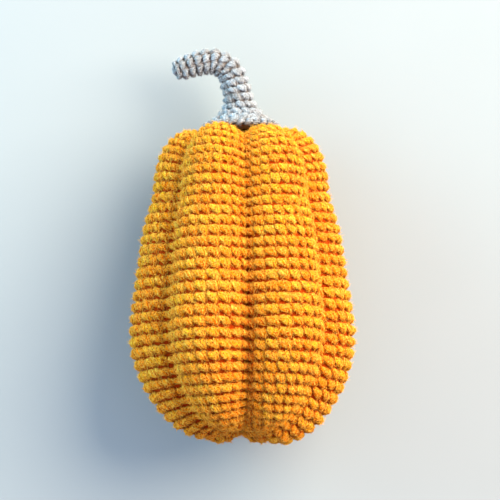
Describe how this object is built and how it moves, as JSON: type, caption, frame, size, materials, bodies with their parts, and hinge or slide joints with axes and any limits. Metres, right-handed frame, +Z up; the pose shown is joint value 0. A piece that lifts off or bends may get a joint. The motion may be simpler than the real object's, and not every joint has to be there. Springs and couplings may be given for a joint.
{
  "type": "crocheted toy pumpkin",
  "caption": "Stuffed crocheted toy pumpkin with deep ribs and a bent crocheted stem, lying on its side.",
  "frame": {"origin": "on the floor, under the middle of the part as it lies", "axes": "+Z up; +Y along the body towards the stem; -X is the side to which the stem curls"},
  "size_m": [0.1012, 0.1782, 0.0897],
  "materials": {
    "orange_yarn": "matte",
    "grey_yarn": "matte",
    "fibrefill": "matte"
  },
  "bodies": {
    "root": {"body_cover": "orange_yarn", "body_stuffing": "fibrefill", "stem_cover": "grey_yarn", "stem_stuffing": "fibrefill"}
  },
  "joints": []
}
